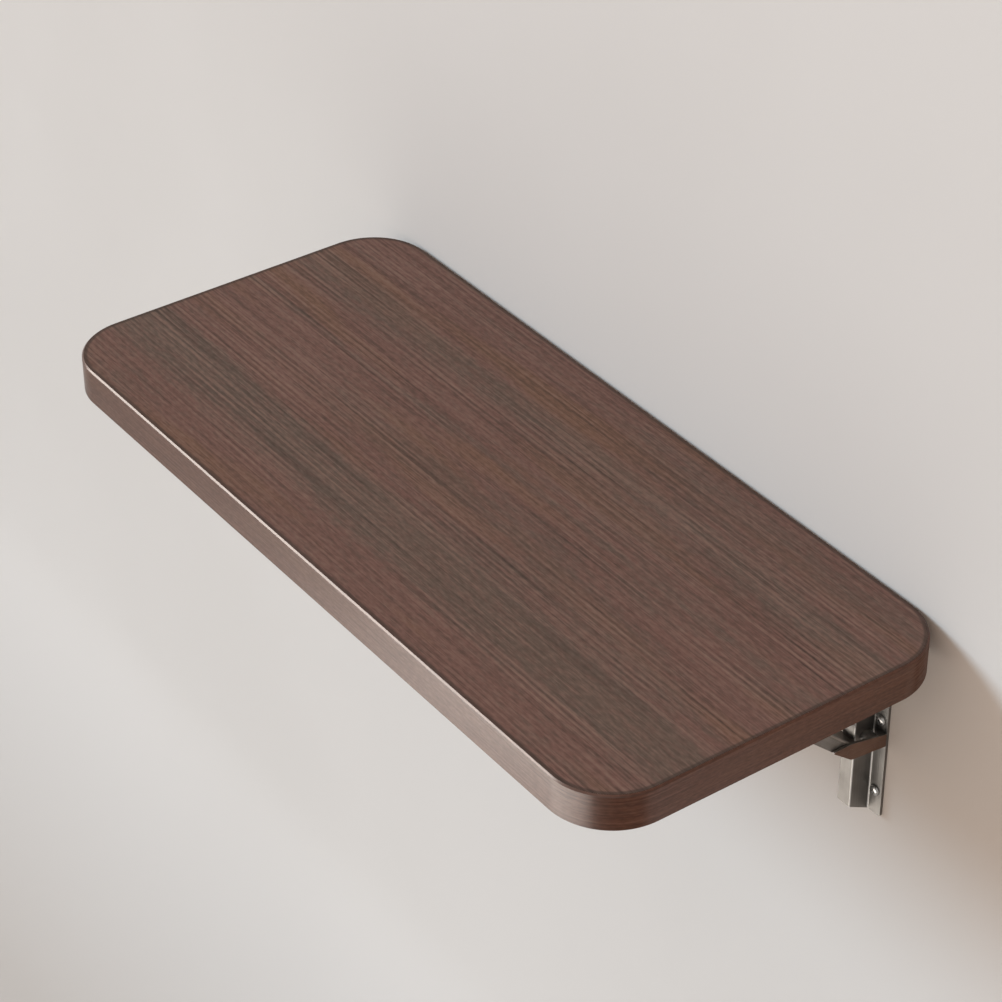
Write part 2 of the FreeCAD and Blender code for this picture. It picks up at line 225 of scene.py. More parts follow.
grainShape = {
    "pitch": 0.0042,  # the growth lines' usual spacing in metres
    "stray": 2.6,  # how many lines they wander
    "ripple": 0.08,  # the share of each layer in the tone
    "hair": 0.95,
    "mottle": 1.3,
    "blush": 1.6,
    "most": 0.85,  # the darkest and palest that the tone can go
    "patchScale": 1.7,
    "patchEdge": (0.36, 0.64),
    "patchDepth": (0.45, 1.45),
    "warmthEdge": (0.48, 0.66),
    "poreEdge": (0.60, 0.74),
    "toneEdge": (-0.4, 0.4),
    "roughness": (0.44, 0.60),
}
grainLayers = {  # scale and shift, so that no two layers share a pattern
    "patches": (1.0, (3.1, 7.7, 5.3)),
    "hair": (2.3, (9.1, 2.3, 4.7)),
    "blush": (0.6, (2.9, 6.1, 8.3)),
    "warmth": (1.6, (6.7, 1.9, 3.3)),
}


def buildWalnutGrain():
    group, given, out = newGroup(
        "walnutGrain",
        {"Streak": "Float", "Across": "Float", "Figure": "Vector", "Lines": "Vector", "Mottle": "Vector",
         "Pores": "Vector", "Umber": "Color", "Russet": "Color", "Amber": "Color", "Tan": "Color",
         "Ink": "Color", "Line Depth": "Float", "Pore Depth": "Float"},
        {"Color": "Color", "Roughness": "Float", "Height": "Float"},
    )

    def layer(source, name):
        scale, shift = grainLayers[name]
        return stretch(group, given[source], scale=(scale,) * 3, shift=shift)

    def evenNoise(vector, detail):  # about zero
        return calc(group, "SUBTRACT", noise(group, vector, detail=detail), 0.5)

    def share(value, size):
        return calc(group, "MULTIPLY", value, size)

    stray = share(noise(group, given["Figure"]), grainShape["stray"])
    cycles = calc(group, "ADD", calc(group, "DIVIDE", given["Across"], grainShape["pitch"]), stray)
    ripple = share(calc(group, "SINE", share(cycles, math.tau)), grainShape["ripple"])
    lines = calc(group, "ADD", evenNoise(given["Lines"], detail=3.0), ripple)
    patches = noise(group, layer("Figure", "patches"), grainShape["patchScale"])
    lines = share(lines, spread(group, patches, *grainShape["patchEdge"], *grainShape["patchDepth"]))
    hair = share(evenNoise(layer("Lines", "hair"), detail=1.0), grainShape["hair"])
    mottle = share(evenNoise(given["Mottle"], detail=2.0), grainShape["mottle"])
    tone = calc(group, "ADD", share(lines, given["Line Depth"]), hair)
    tone = calc(group, "ADD", tone, mottle)

    blush = share(evenNoise(layer("Mottle", "blush"), detail=2.0), grainShape["blush"])
    blush = calc(group, "ADD", given["Streak"], blush)
    ground = blendColour(group, blush, given["Russet"], given["Umber"])
    warmth = spread(group, noise(group, layer("Figure", "warmth")), *grainShape["warmthEdge"])
    warmth = share(warmth, calc(group, "SUBTRACT", 1.0, given["Streak"]))
    ground = blendColour(group, warmth, ground, given["Amber"])
    dark = calc(group, "MINIMUM", tone, grainShape["most"])
    ground = blendColour(group, dark, ground, given["Ink"])
    pale = calc(group, "MINIMUM", share(tone, -1.0), grainShape["most"])
    ground = blendColour(group, pale, ground, given["Tan"])
    pores = spread(group, noise(group, given["Pores"], detail=1.0), *grainShape["poreEdge"])
    pores = share(pores, given["Pore Depth"])

    feed(group, out["Color"], blendColour(group, pores, ground, given["Ink"]))
    feed(group, out["Roughness"], spread(group, tone, *grainShape["toneEdge"], *grainShape["roughness"]))
    feed(group, out["Height"], share(calc(group, "ADD", tone, pores), -1.0))
    return group


walnutGrain = buildWalnutGrain()

walnutCells = {  # cells to the metre along and across the grain
    "figure": (2.6, 22.0),
    "lines": (7.0, 470.0),
    "mottle": (150.0, 480.0),
    "pores": (60.0, 1100.0),
}
walnutFinish = {
    "cloudDetail": 3.0,
    "cloudRoughness": 0.55,
    "cloudEdge": (0.47, 0.66),
    "cloudWeight": 0.55,
    "streakStray": 0.040,  # metres
    "bumpStrength": 0.25,
    "bumpDepth": 0.00006,
}


def oneStreak(tree, place, rising, full, falling, gone, weight):
    ramp = calc(tree, "MINIMUM", spread(tree, place, rising, full), spread(tree, place, gone, falling))
    return calc(tree, "MULTIPLY", ramp, weight)


def walnutMaterial(name, colours, acrossAxis, shift, lineDepth, poreDepth, fine=1.0, streaks=None):
    material, tree, shader, place = newMaterial(name)
    moved = stretch(tree, place, shift=shift)

    def cells(key):  # along the grain on every axis but the one across it
        along, across = walnutCells[key]
        scale = [along * fine] * 3
        scale[acrossAxis] = across * fine
        return stretch(tree, moved, scale=scale)

    axes = axesOf(tree, place)
    figure = cells("figure")
    cloud = noise(
        tree, figure, detail=walnutFinish["cloudDetail"], roughness=walnutFinish["cloudRoughness"]
    )
    streak = spread(tree, cloud, *walnutFinish["cloudEdge"], 0.0, walnutFinish["cloudWeight"])
    if streaks:
        stray = calc(tree, "MULTIPLY", calc(tree, "SUBTRACT", cloud, 0.5), walnutFinish["streakStray"])
        fromWall = calc(tree, "SUBTRACT", stray, axes[1])
        for shape in streaks.values():
            streak = calc(tree, "MAXIMUM", streak, oneStreak(tree, fromWall, *shape))
    values = {label.title(): opaque(colour) for label, colour in colours.items()}
    values.update({
        "Streak": streak, "Across": calc(tree, "MULTIPLY", axes[acrossAxis], fine), "Figure": figure,
        "Lines": cells("lines"), "Mottle": cells("mottle"), "Pores": cells("pores"),
        "Line Depth": lineDepth, "Pore Depth": poreDepth,
    })
    grain = placeGroup(tree, walnutGrain, values)
    feed(tree, shader.inputs["Base Color"], grain["Color"])
    feed(tree, shader.inputs["Roughness"], grain["Roughness"])
    bumpInto(tree, shader, grain["Height"], walnutFinish["bumpStrength"], walnutFinish["bumpDepth"])
    return material, tree, shader, place


# Steel: brush strokes one way, faint handling clouds, and a painted highlight on the bends

steelFinish = {
    "along": 14.0,  # cells to the metre along and across the strokes, and in the clouds
    "across": 3200.0,
    "clouds": 55.0,
    "strokeDetail": 4.0,
    "strokeRoughness": 0.65,
    "cloudDetail": 3.0,
    "cloudRoughness": 0.55,
    "toneEdge": (0.3, 0.7),
    "sheenEdge": (0.25, 0.75),
    "bendEdge": (0.985, 0.86),  # how squarely a surface faces one axis, from the flats to the bends
    "bendSheen": 0.5,
    "cheekEdge": (0.55, 0.95),
    # the pale colour of the painted highlight on the bends
    "paintedBendHighlight": (0.86, 0.84, 0.81),
    "bumpStrength": 0.35,
    "bumpDepth": 0.000012,
}


def buildBrushedSteel():
    group, given, out = newGroup(
        "brushedSteel",
        {"Strokes": "Vector", "Clouds": "Vector", "Facing": "Vector", "Bright": "Color", "Dull": "Color",
         "Painted Bend Highlight": "Color", "Sheen Low": "Float", "Sheen High": "Float", "Bend Highlight Weight": "Float"},
        {"Color": "Color", "Roughness": "Float", "Height": "Float"},
    )
    strokes = noise(
        group, given["Strokes"], detail=steelFinish["strokeDetail"], roughness=steelFinish["strokeRoughness"]
    )
    clouds = noise(
        group, given["Clouds"], detail=steelFinish["cloudDetail"], roughness=steelFinish["cloudRoughness"]
    )
    mixed = calc(group, "MULTIPLY", calc(group, "ADD", strokes, clouds), 0.5)
    flat = 0.0
    for axis in axesOf(group, given["Facing"]):  # a bend faces no one way
        flat = calc(group, "MAXIMUM", calc(group, "ABSOLUTE", axis), flat)
    bend = calc(group, "MULTIPLY", spread(group, flat, *steelFinish["bendEdge"]), given["Bend Highlight Weight"])
    tone = spread(group, mixed, *steelFinish["toneEdge"])
    colour = blendColour(group, tone, given["Dull"], given["Bright"])
    # the bends take the painted highlight colour
    feed(group, out["Color"], blendColour(group, bend, colour, given["Painted Bend Highlight"]))
    polish = calc(group, "MULTIPLY", bend, steelFinish["bendSheen"])
    level = calc(group, "SUBTRACT", spread(group, mixed, *steelFinish["sheenEdge"]), polish)
    span = calc(group, "SUBTRACT", given["Sheen High"], given["Sheen Low"])
    sheen = calc(group, "ADD", calc(group, "MULTIPLY", level, span), given["Sheen Low"])
    feed(group, out["Roughness"], sheen)
    feed(group, out["Height"], strokes)
    return group


brushedSteel = buildBrushedSteel()


def steelMaterial(name, alongAxis, bright, dull, sheen, turn=(0, 0, 0), bendHighlightWeight=0.0, plainEdges=None):
    material, tree, shader, place = newMaterial(name)
    facing = place.node.outputs["Normal"]
    scale = [steelFinish["across"]] * 3
    scale[alongAxis] = steelFinish["along"]
    steel = placeGroup(tree, brushedSteel, {
        "Strokes": stretch(tree, stretch(tree, place, turn=turn), scale=scale),
        "Clouds": stretch(tree, place, scale=[steelFinish["clouds"]] * 3),
        "Facing": stretch(tree, facing, turn=turn), "Bright": opaque(bright), "Dull": opaque(dull),
        "Painted Bend Highlight": opaque(steelFinish["paintedBendHighlight"]), "Sheen Low": sheen[0], "Sheen High": sheen[1],
        "Bend Highlight Weight": bendHighlightWeight,
    })
    shader.inputs["Metallic"].default_value = 1.0
    colour = steel["Color"]
    if plainEdges:  # cheeks painted brown as a painted reflection of the warm shaded wall and wood, plain steel on the edges and the bridge between them
        sideways = calc(tree, "ABSOLUTE", axesOf(tree, facing)[0])
        cheek = spread(tree, sideways, *steelFinish["cheekEdge"])
        colour = blendColour(tree, cheek, opaque(plainEdges), colour)
    feed(tree, shader.inputs["Base Color"], colour)
    feed(tree, shader.inputs["Roughness"], steel["Roughness"])
    bumpInto(tree, shader, steel["Height"], steelFinish["bumpStrength"], steelFinish["bumpDepth"])
    return material


# Finishes: colours at the top and bottom of the strokes, and the least and most roughness
stainless = {"bright": (0.35, 0.34, 0.325), "dull": (0.22, 0.21, 0.20), "sheen": (0.38, 0.54)}
railStainless = {"bright": (0.25, 0.24, 0.225), "dull": (0.16, 0.15, 0.14), "sheen": (0.38, 0.54)}
# the fork's brown colours are a painted reflection of the warm shaded wall and wood
forkPaintedReflection = {"bright": (0.24, 0.155, 0.12), "dull": (0.15, 0.09, 0.068), "sheen": (0.34, 0.50)}
bareSteel = {"bright": (0.66, 0.65, 0.64), "dull": (0.46, 0.45, 0.45), "sheen": (0.20, 0.34)}
tempered = {"bright": (0.50, 0.49, 0.50), "dull": (0.33, 0.33, 0.36), "sheen": (0.22, 0.36)}
plated = {"bright": (0.52, 0.51, 0.49), "dull": (0.34, 0.34, 0.335), "sheen": (0.18, 0.32)}
# plain steel for the fork's edges and bridge, beside the painted brown reflection on its cheeks
forkPlainSteel = (0.36, 0.34, 0.32)
bendHighlightShare = 0.5  # how strongly the painted highlight is laid on the bends of folded sheet
braceTurn = math.radians(42)  # the brace rises at this angle while the leaf is up

railSteel = steelMaterial("railSteel", alongAxis=2, bendHighlightWeight=bendHighlightShare, **railStainless)
armSteel = steelMaterial("armSteel", alongAxis=1, bendHighlightWeight=bendHighlightShare, **stainless)
forkSteel = steelMaterial("forkSteel", alongAxis=1, plainEdges=forkPlainSteel, **forkPaintedReflection)
braceSteel = steelMaterial(
    "braceSteel", alongAxis=1, turn=(braceTurn, 0, 0), bendHighlightWeight=bendHighlightShare, **stainless
)
pinSteel = steelMaterial("pinSteel", alongAxis=0, **bareSteel)
springSteel = steelMaterial("springSteel", alongAxis=1, **tempered)
screwPlate = steelMaterial("screwPlate", alongAxis=0, **plated)
print("steel finishes ready")


# Nylon and raw board

nylonFinish = {
    "pale": (0.78, 0.76, 0.69),
    "deep": (0.64, 0.61, 0.53),
    "mottle": 420.0,  # cells to the metre
    "mottleDetail": 3.0,
    "toneEdge": (0.35, 0.65),
    "sheenEdge": (0.3, 0.7),
    "roughness": (0.38, 0.52),
    "glow": 0.15,  # light let in under the surface, and how far in metres
    "glowReach": (0.002, 0.0015, 0.001),
    "grit": 5200.0,
    "bumpStrength": 0.2,
    "bumpDepth": 0.00002,
}


def nylonMaterial():
    material, tree, shader, place = newMaterial("naturalNylon")
    mottle = noise(tree, place, nylonFinish["mottle"], nylonFinish["mottleDetail"])
    tone = spread(tree, mottle, *nylonFinish["toneEdge"])
    colour = blendColour(tree, tone, opaque(nylonFinish["deep"]), opaque(nylonFinish["pale"]))
    sheen = spread(tree, mottle, *nylonFinish["sheenEdge"], *nylonFinish["roughness"])
    feed(tree, shader.inputs["Base Color"], colour)
    feed(tree, shader.inputs["Roughness"], sheen)
    shader.inputs["Subsurface Weight"].default_value = nylonFinish["glow"]
    shader.inputs["Subsurface Radius"].default_value = nylonFinish["glowReach"]
    grit = noise(tree, place, nylonFinish["grit"])
    bumpInto(tree, shader, grit, nylonFinish["bumpStrength"], nylonFinish["bumpDepth"])
    return material


chipFinish = {
    "light": (0.46, 0.33, 0.20),
    "dark": (0.22, 0.14, 0.08),
    "chips": (260.0, 260.0, 900.0),  # cells to the metre along each axis
    "roughness": (0.75, 0.92),
    "bumpStrength": 0.4,
    "bumpDepth": 0.0002,
}


def chipMaterial():
    material, tree, shader, place = newMaterial("chipBoard")
    cells = tree.nodes.new("ShaderNodeTexVoronoi")
    feed(tree, cells.inputs["Vector"], stretch(tree, place, scale=chipFinish["chips"]))
    shade = tree.nodes.new("ShaderNodeRGBToBW")
    feed(tree, shade.inputs["Color"], cells.outputs["Color"])
    tone = shade.outputs[0]
    colour = blendColour(tree, tone, opaque(chipFinish["dark"]), opaque(chipFinish["light"]))
    feed(tree, shader.inputs["Base Color"], colour)
    feed(tree, shader.inputs["Roughness"], spread(tree, tone, 0.0, 1.0, *chipFinish["roughness"]))
    bumpInto(tree, shader, cells.outputs["Distance"], chipFinish["bumpStrength"], chipFinish["bumpDepth"])
    return material


naturalNylon = nylonMaterial()
chipBoard = chipMaterial()


# Leaf: its walnut faces, the top sheet and the edge band

leafShape = {
    "cornerRadius": 0.044,
    "cornerSteps": 28,
    "arris": 0.0012,
    "arrisSteps": 6,
    "arrisFlat": 0.27,  # under a half is flatter than a round
    "seam": 0.00014,
}
topWalnut = {
    "umber": (0.111, 0.075, 0.057),
    "russet": (0.146, 0.075, 0.058),
    "amber": (0.154, 0.081, 0.053),
    "tan": (0.222, 0.133, 0.100),
    "ink": (0.045, 0.030, 0.023),
}
edgeWalnut = {
    "umber": (0.080, 0.038, 0.025),
    "russet": (0.106, 0.044, 0.027),
    "amber": (0.112, 0.049, 0.029),
    "tan": (0.164, 0.081, 0.056),
    "ink": (0.034, 0.017, 0.011),
}
underWalnut = {
    "umber": (0.088, 0.060, 0.049),
    "russet": (0.118, 0.064, 0.051),
    "amber": (0.125, 0.070, 0.049),
    "tan": (0.180, 0.112, 0.088),
    "ink": (0.040, 0.028, 0.023),
}
topStreaks = {  # distances from the wall where a streak starts, is full, fades and is gone, and its weight
    "near": (0.046, 0.058, 0.064, 0.094, 0.75),
    "thin": (0.110, 0.114, 0.116, 0.122, 0.60),
    "wide": (0.182, 0.196, 0.216, 0.246, 0.90),
}
topGrain = {"acrossAxis": 1, "shift": (0, 0, 0), "lineDepth": 1.75, "poreDepth": 0.35, "streaks": topStreaks}
edgeGrain = {"acrossAxis": 2, "shift": (2.0, 1.0, 0.3), "lineDepth": 1.1, "poreDepth": 0.25, "fine": 1.6}
underGrain = {"acrossAxis": 1, "shift": (5.0, 3.0, 0), "lineDepth": 0.6, "poreDepth": 0.25}
walnutGloss = {"top": 0.14, "edge": 0.10, "under": 0.30, "edgeCoatRoughness": 0.30}
edgeDarkLine = {"start": 0.0046, "full": 0.0028, "weight": 0.70}  # distances from the edge, and how dark
bandPolish = {
    "rimStart": 0.0018,  # distances from the rim where its shine starts and is full
    "rimFull": 0.0011,
    "rimFacing": (-0.20, -0.60),  # how far forward a surface faces where its shine starts and is full
    "frontFacing": (-0.50, -0.90),
    "endFacing": (0.28, 0.10),  # either way, forward or back
    "rim": 1.0,  # the coat's weight on each part
    "endRim": 0.32,
    "front": 0.64,
    "ends": 0.50,
    "corners": 0.10,
}
upright = 0.1  # a wall's normal rises less than this


def darkRim(tree, shader, place, low, high):  # a darker line along the top's edge, just inside the edge band
    radius = leafShape["cornerRadius"]
    half = (high - low) / 2
    fromMiddle = vectorCalc(tree, "ABSOLUTE", stretch(tree, place, shift=tuple(-(low + high) / 2)))
    beyond = vectorCalc(tree, "SUBTRACT", fromMiddle, (half.x - radius, half.y - radius, 1))
    reach = vectorCalc(tree, "LENGTH", vectorCalc(tree, "MAXIMUM", beyond))
    start, full = radius - edgeDarkLine["start"], radius - edgeDarkLine["full"]
    mask = spread(tree, reach, start, full, 0.0, edgeDarkLine["weight"])
    plain = shader.inputs["Base Color"].links[0].from_socket
    feed(tree, shader.inputs["Base Color"], blendColour(tree, mask, plain, opaque(topWalnut["ink"])))


def polishBand(tree, shader, place, low, high):  # a buffed front rim, polished flats and duller corners
    forward = axesOf(tree, place.node.outputs["Normal"])[1]
    turned = calc(tree, "ABSOLUTE", forward)
    end = spread(tree, turned, *bandPolish["endFacing"], bandPolish["corners"], bandPolish["ends"])
    face = spread(tree, forward, *bandPolish["frontFacing"], end, bandPolish["front"])
    rim = spread(tree, forward, *bandPolish["rimFacing"], bandPolish["endRim"], bandPolish["rim"])
    middle, half = (low.z + high.z) / 2, (high.z - low.z) / 2
    fromMiddle = calc(tree, "ABSOLUTE", calc(tree, "SUBTRACT", axesOf(tree, place)[2], middle))
    start, full = half - bandPolish["rimStart"], half - bandPolish["rimFull"]
    feed(tree, shader.inputs["Coat Weight"], spread(tree, fromMiddle, start, full, face, rim))


walnutTop, topTree, topShader, topPlace = walnutMaterial("walnutTop", topWalnut, **topGrain)
topShader.inputs["Specular IOR Level"].default_value = walnutGloss["top"]
darkRim(topTree, topShader, topPlace, *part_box("edge_band"))
walnutEdge, edgeTree, edgeShader, edgePlace = walnutMaterial("walnutEdge", edgeWalnut, **edgeGrain)
edgeShader.inputs["Specular IOR Level"].default_value = walnutGloss["edge"]
edgeShader.inputs["Coat Roughness"].default_value = walnutGloss["edgeCoatRoughness"]
polishBand(edgeTree, edgeShader, edgePlace, *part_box("edge_band"))
walnutUnder, _, underShader, _ = walnutMaterial("walnutUnder", underWalnut, **underGrain)
underShader.inputs["Specular IOR Level"].default_value = walnutGloss["under"]
print("walnut finishes ready")


def roundedPlan(name, low, high, radius):
    deselectAll()
    middle = (low + high) / 2
    bpy.ops.mesh.primitive_plane_add(size=1, location=(middle.x, middle.y, low.z))
    plan = bpy.context.object
    plan.name = plan.data.name = name
    plan.scale = (high.x - low.x, high.y - low.y, 1)
    bpy.ops.object.transform_apply(location=True, rotation=True, scale=True)
    bpy.ops.object.mode_set(mode="EDIT")
    bpy.ops.mesh.select_all(action="SELECT")
    bpy.ops.mesh.bevel(
        offset=radius, offset_type="OFFSET", affect="VERTICES", segments=leafShape["cornerSteps"], profile=0.5
    )
    return plan


def raisePlan(height):  # the plan's open face becomes a closed solid
    bpy.ops.mesh.select_all(action="SELECT")
    bpy.ops.mesh.extrude_region_move(TRANSFORM_OT_translate={"value": (0, 0, height)})
    bpy.ops.mesh.select_all(action="SELECT")
    bpy.ops.mesh.normals_make_consistent(inside=False)


def rimTest(middle, height, outer):  # edges of a level rim, on the outer or the inner wall
    def test(edge):
        centre = (edge.verts[0].co + edge.verts[1].co) / 2
        if abs(centre.z - height) > samePlace or len(edge.link_faces) != 2:
            return False
        walls = [face for face in edge.link_faces if abs(face.normal.z) < upright]
        return len(walls) == 1 and ((centre - middle).dot(walls[0].normal) > 0) == outer
    return test


def makeTopSheet():
    low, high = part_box("top_laminate")
    band = low.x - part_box("edge_band")[0].x
    piece = roundedPlan("walnutTopSheet", low, high, leafShape["cornerRadius"] - band)
    raisePlan(high.z - low.z)
    selectEdges(piece, rimTest((low + high) / 2, high.z, True))
    bpy.ops.mesh.bevel(offset=leafShape["seam"], affect="EDGES", segments=1)
    bpy.ops.object.mode_set(mode="OBJECT")
    smoothOver(piece)
    give(piece, walnutTop)
    standsFor(piece, "top_laminate")


def makeEdgeBand():
    low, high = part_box("edge_band")
    middle = (low + high) / 2
    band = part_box("top_laminate")[0].x - low.x
    piece = roundedPlan("walnutEdgeBand", low, high, leafShape["cornerRadius"])
    bpy.ops.mesh.select_all(action="SELECT")
    bpy.ops.mesh.inset(thickness=band)
    bpy.ops.mesh.delete(type="FACE")
    raisePlan(high.z - low.z)
    for height in (low.z, high.z):
        selectEdges(piece, rimTest(middle, height, True))
        bpy.ops.mesh.bevel(
            offset=leafShape["arris"], affect="EDGES", segments=leafShape["arrisSteps"],
            profile=leafShape["arrisFlat"]
        )
    selectEdges(piece, rimTest(middle, high.z, False))
    bpy.ops.mesh.bevel(offset=leafShape["seam"], affect="EDGES", segments=1)
    bpy.ops.object.mode_set(mode="OBJECT")
    smoothOver(piece)
    give(piece, walnutEdge)
    standsFor(piece, "edge_band")


makeTopSheet()
makeEdgeBand()
give(nodes["core_board"], chipBoard)
give(nodes["under_laminate"], walnutUnder)
print("leaf dressed")


# Steel and nylon pieces: the frame's own shapes with their sharp edges broken

brokenEdges = {  # edge width in metres and finish
    "wall_rail": (0.00030, railSteel),
    "shelf_arm": (0.00030, armSteel),
    "brace_fork": (0.00025, forkSteel),
    "brace": (0.00025, braceSteel),
    "hinge_pin": (0.00030, pinSteel),
    "hinge_spacers": (0.00025, pinSteel),
    "fork_pin": (0.00006, forkSteel),
    "fork_spacers": (0.00025, forkSteel),
    "foot_pin": (0.00006, forkSteel),
    "slide_pin": (0.00040, pinSteel),
    "slide_bushes": (0.00020, naturalNylon),
    "brace_washers": (0.00010, naturalNylon),
    "latch_spring": (0.00018, springSteel),
}
brokenSteps = 3
groundFlush = {"brace_fork": ("fork_pin", "foot_pin")}  # holes whose rivets are ground flush
flushMargin = 0.0002  # metres round such a rivet
flatJoin = math.radians(0.4)  # triangles flatter than this to each other become one face
sharpFrom = math.radians(38)  # edges sharper than this are broken


def sharpTest(stem, side):
    axes = []
    for pin in groundFlush.get(stem, ()):
        low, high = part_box(pin + "_" + side)
        axes.append(((low + high) / 2, (high.z - low.z) / 2 + flushMargin))

    def test(edge):
        if len(edge.link_faces) != 2 or edge.calc_face_angle() < sharpFrom:
            return False
        ends = [vertex.co for vertex in edge.verts]
        return not any(all((end - axis).yz.length < radius for end in ends) for axis, radius in axes)
    return test


def brokenCopy(stem, side, width, material):
    nodeName = stem + "_" + side
    pick(nodes[nodeName])
    bpy.ops.object.duplicate(linked=False)
    piece = bpy.context.object
    piece.name = piece.data.name = "dressed." + nodeName
    for key in ("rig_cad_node", "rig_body"):  # the copy is a piece of its own
        del piece[key]
    bpy.ops.object.parent_clear(type="CLEAR_KEEP_TRANSFORM")
    bpy.ops.mesh.customdata_custom_splitnormals_clear()
    bpy.ops.object.mode_set(mode="EDIT")
    bpy.ops.mesh.select_mode(type="VERT")
    bpy.ops.mesh.select_all(action="SELECT")
    bpy.ops.mesh.remove_doubles(threshold=samePlace)
    bpy.ops.mesh.dissolve_limited(angle_limit=flatJoin)
    selectEdges(piece, sharpTest(stem, side))
    bpy.ops.mesh.bevel(
        offset=width, segments=brokenSteps, affect="EDGES", clamp_overlap=True, miter_outer="ARC"
    )
    bpy.ops.object.mode_set(mode="OBJECT")
    smoothOver(piece)
    give(piece, material)
    standsFor(piece, nodeName)


for stem, (width, material) in brokenEdges.items():
    for side in sides:
        brokenCopy(stem, side, width, material)
print("steel and nylon pieces dressed")


# Screws: pan heads with a cross recess, plain necks and cut threads

screwShape = {  # shares of the head's or thread's own size
    "headHeight": 0.32,
    "recessReach": 0.27,
    "recessWidth": 0.085,
    "recessDepth": 0.62,
    "recessTaper": 0.45,
    "neck": 0.76,
    "root": 0.74,
    "pitch": 0.40,
    "tipLength": 1.3,
    "tipWidth": 0.25,
}
screwSteps = {"turn": 20, "head": 40}
screwCrease = math.radians(32)  # edges sharper than this stay sharp
screwTurn = Vector((0, 90, 70))  # each screw stops at its own angle, in radians for each metre of its place
panShares = (  # from the crown out and back to the seat: shares of the head's radius and height
    (0, 1), (0.52, 0.97), (0.78, 0.86), (0.93, 0.62), (1, 0.26), (1, 0.05), (0.97, 0),
)
crestShares = (0.45, 0.68, 0.76)  # shares of the pitch where a thread rises, is full and falls
screwKinds = {  # thread and head diameters, neck length, the rows each way and the axis it is driven along
    "wall_screws": {"thread": 0.0045, "head": 0.0078, "neck": 0.003, "grid": (2, 3), "axis": 1},
    "arm_screws": {"thread": 0.004, "head": 0.008, "neck": 0.003, "grid": (2, 3), "axis": 2},
    "latch_screws": {"thread": 0.003, "head": 0.0056, "neck": 0.003, "grid": (1, 2), "axis": 2},
}
lineStart = 0.001  # metres, the small plane that a line is drawn from


def drawLine(name, points):  # a chain of edges in the XZ plane
    deselectAll()
    bpy.ops.mesh.primitive_plane_add(size=lineStart, location=(0, 0, 0))
    line = bpy.context.object
    line.name = line.data.name = name
    bpy.ops.object.mode_set(mode="EDIT")
    bpy.ops.mesh.select_mode(type="VERT")
    bpy.ops.mesh.select_all(action="SELECT")
    bpy.ops.mesh.merge(type="CENTER")
    bpy.ops.transform.translate(value=(points[0][0], 0, points[0][1]))
    for (x, z), (nextX, nextZ) in zip(points, points[1:]):
        bpy.ops.mesh.extrude_vertices_move(TRANSFORM_OT_translate={"value": (nextX - x, 0, nextZ - z)})
    bpy.ops.object.mode_set(mode="OBJECT")
    return line


def closeUp(piece):  # merges the seam, caps the ends and turns the faces outwards
    pick(piece)
    bpy.ops.object.mode_set(mode="EDIT")
    bpy.ops.mesh.select_all(action="SELECT")
    bpy.ops.mesh.remove_doubles(threshold=samePlace)
    bpy.ops.mesh.fill_holes(sides=0)
    bpy.ops.mesh.select_all(action="SELECT")
    bpy.ops.mesh.normals_make_consistent(inside=False)
    bpy.ops.object.mode_set(mode="OBJECT")


def makeHead(kind):
    radius = kind["head"] / 2
    height = kind["head"] * screwShape["headHeight"]
    neck = kind["thread"] / 2 * screwShape["neck"]
    outline = [(out * radius, -up * height) for out, up in panShares]
    outline += [(neck, 0), (neck, kind["neck"]), (0, kind["neck"])]
    head = drawLine("screwHead", outline)
    pick(head)
    bpy.ops.object.mode_set(mode="EDIT")
    bpy.ops.mesh.select_all(action="SELECT")
    bpy.ops.mesh.spin(steps=screwSteps["head"], angle=math.tau, center=(0, 0, 0), axis=(0, 0, 1))
    bpy.ops.object.mode_set(mode="OBJECT")
    closeUp(head)
    for turn in (0, math.pi / 2):
        cutRecess(head, kind["head"], height, turn)
    return head


def cutRecess(head, diameter, height, turn):
    deselectAll()
    bpy.ops.mesh.primitive_cube_add(size=1, location=(0, 0, 0))
    blade = bpy.context.object
    reach, width = diameter * screwShape["recessReach"], diameter * screwShape["recessWidth"]
    blade.scale = (reach * 2, width * 2, height * screwShape["recessDepth"] * 2)
    blade.rotation_euler = (0, 0, turn)
    blade.location = (0, 0, -height)
    bpy.ops.object.transform_apply(location=True, rotation=True, scale=True)
    bpy.ops.object.mode_set(mode="EDIT")
    mesh = bmesh.from_edit_mesh(blade.data)
    bpy.ops.mesh.select_all(action="DESELECT")
    for vertex in mesh.verts:  # the inner end is narrower
        vertex.select_set(vertex.co.z > -height)
    mesh.select_flush(True)
    bmesh.update_edit_mesh(blade.data)
    taper = screwShape["recessTaper"]
    bpy.ops.transform.resize(value=(taper, taper, 1), center_override=(0, 0, 0))
    bpy.ops.object.mode_set(mode="OBJECT")
    applyModifier(head, "BOOLEAN", operation="DIFFERENCE", object=blade, solver="EXACT")
    bpy.data.objects.remove(blade)


